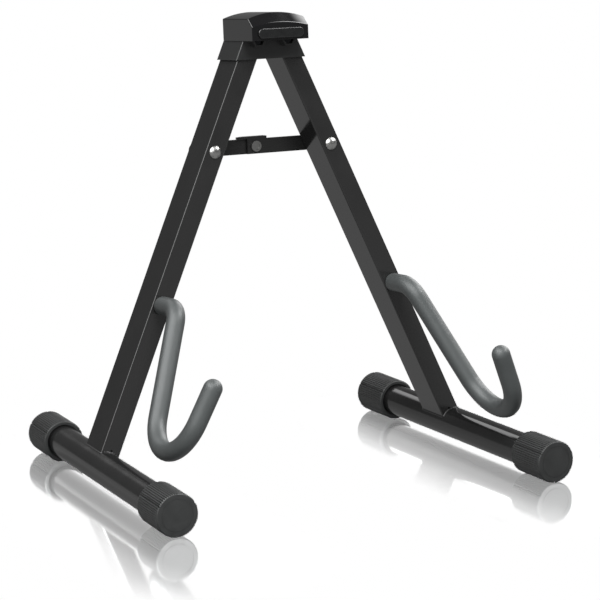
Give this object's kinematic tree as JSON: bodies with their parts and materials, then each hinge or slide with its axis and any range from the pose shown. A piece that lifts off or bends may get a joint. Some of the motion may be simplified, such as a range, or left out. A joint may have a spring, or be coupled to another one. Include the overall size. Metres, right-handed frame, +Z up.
{
  "type": "folding guitar stand",
  "caption": "Folding A-frame guitar stand with round feet, padded J hooks, a rubber bumper on its head and a spreader that folds upward.",
  "frame": {"origin": "on the floor, under the middle of the bounding box of the opened stand", "axes": "+Z up, -Y towards the hooks and the guitar, +X to the right when one faces the hooks"},
  "size_m": [0.3586, 0.2754, 0.3611],
  "materials": {
    "leg_paint": "gloss black powder coat on rectangular and round steel tube",
    "painted_bar": "semi-gloss black coat on flat steel bar",
    "hood_abs": "polished black ABS moulding",
    "yoke_nylon": "fine-grained black glass-filled nylon",
    "bumper_rubber": "smooth black rubber",
    "cap_rubber": "matte black moulded rubber with fine ribs",
    "foam": "dark grey closed-cell foam sleeve",
    "rod_steel": "bare drawn steel, hidden in the foam and the legs",
    "rivet_steel": "satin plated steel rivets",
    "black_zinc": "black-passivated zinc-plated fasteners"
  },
  "bodies": {
    "head": {"head_yoke": "yoke_nylon", "head_hood": "hood_abs", "head_bumper": "bumper_rubber", "hinge_bolt_left": "black_zinc", "hinge_bolt_right": "black_zinc", "hinge_nuts": "black_zinc", "hinge_washers": "black_zinc", "hood_screws": "black_zinc"},
    "leg_left": {"leg_tube_left": "leg_paint", "pivot_bush_left": "rod_steel", "foot_weld_left": "leg_paint", "foot_tube_left": "leg_paint", "foot_cap_front_left": "cap_rubber", "foot_cap_rear_left": "cap_rubber", "hook_rod_left": "rod_steel", "hook_foam_left": "foam", "leg_rivet_left": "rivet_steel", "spreader_spacer": "rivet_steel"},
    "leg_right": {"leg_tube_right": "leg_paint", "pivot_bush_right": "rod_steel", "foot_weld_right": "leg_paint", "foot_tube_right": "leg_paint", "foot_cap_front_right": "cap_rubber", "foot_cap_rear_right": "cap_rubber", "hook_rod_right": "rod_steel", "hook_foam_right": "foam", "leg_rivet_right": "rivet_steel"},
    "spreader_left": {"spreader_bar_left": "painted_bar", "spreader_mid_rivet": "rivet_steel"},
    "spreader_right": {"spreader_bar_right": "painted_bar", "spreader_rivet_tail": "rivet_steel"}
  },
  "joints": [
    {"name": "leg_left_fold", "type": "hinge", "parent": "head", "child": "leg_left", "pos_m": [-0.013, 0.05126, 0.33768], "axis": [0, -0.9962, 0.0872], "range_deg": [0, 23.3]},
    {"name": "leg_right_fold", "type": "hinge", "parent": "head", "child": "leg_right", "pos_m": [0.013, 0.05126, 0.33768], "axis": [0, -0.9962, 0.0872], "range_deg": [-23.3, 0]},
    {"name": "spreader_left_turn", "type": "hinge", "parent": "leg_left", "child": "spreader_left", "pos_m": [-0.05115, 0.0438, 0.25232], "axis": [0, -0.9962, 0.0872], "range_deg": [0, 50.7]},
    {"name": "spreader_middle", "type": "hinge", "parent": "spreader_left", "child": "spreader_right", "pos_m": [0, 0.0438, 0.25232], "axis": [0, -0.9962, 0.0872], "range_deg": [-148, 0]}
  ],
  "couplings": [
    {"joint": "leg_right_fold", "follows": "leg_left_fold", "ratio": -1},
    {"joint": "spreader_left_turn", "follows": "leg_left_fold", "ratio": 2.1736},
    {"joint": "spreader_middle", "follows": "leg_left_fold", "ratio": -6.3473}
  ]
}
